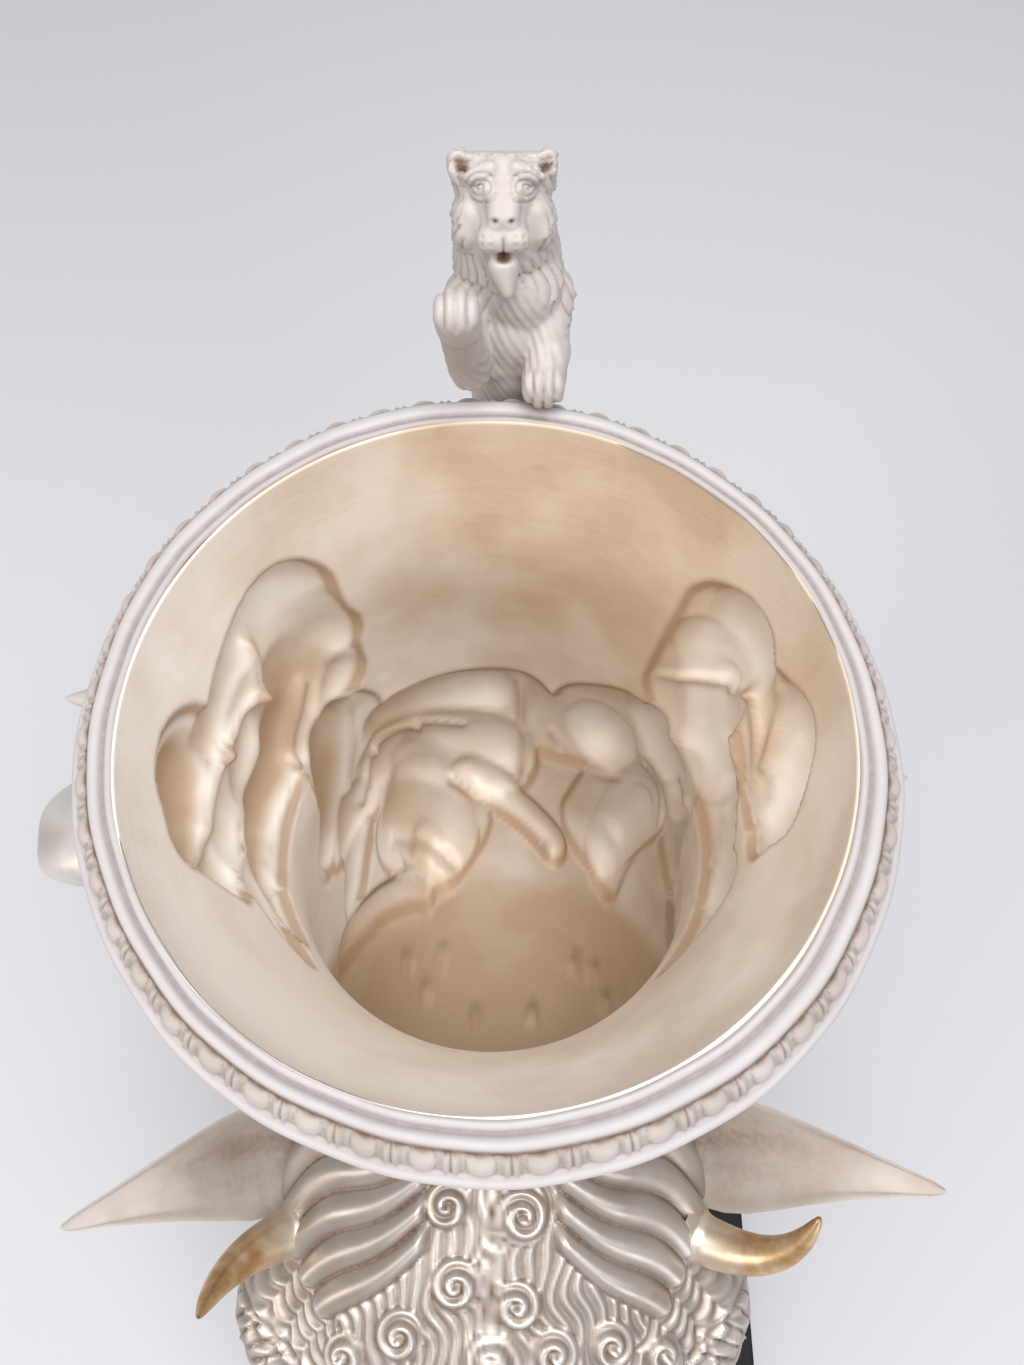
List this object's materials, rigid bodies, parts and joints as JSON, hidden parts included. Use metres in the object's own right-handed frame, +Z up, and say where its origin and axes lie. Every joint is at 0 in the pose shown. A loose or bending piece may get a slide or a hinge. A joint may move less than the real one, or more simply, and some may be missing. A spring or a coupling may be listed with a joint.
{
  "type": "rhyton",
  "caption": "Silver drinking rhyton: a flaring cup that bends into a calf's head, with relief figures, a lion handle over the lip and a black cradle stand.",
  "frame": {"origin": "middle of the stand's underside, on the surface it rests on", "axes": "+Z up, the calf's head looks towards -Y, the lion handle is at +Y, +X to the right seen from the front"},
  "size_m": [0.1983, 0.2917, 0.2813],
  "materials": {
    "silver": "hammered and chased silver, softly polished, brown dirt left in the hollows",
    "gilding": "worn gilding over silver",
    "black_paint": "matt black paint on steel"
  },
  "bodies": {
    "root": {"vessel": "silver", "ear_left": "silver", "ear_right": "silver", "horn_left": "gilding", "horn_right": "gilding", "lion_handle": "silver", "stand": "black_paint"}
  },
  "joints": []
}
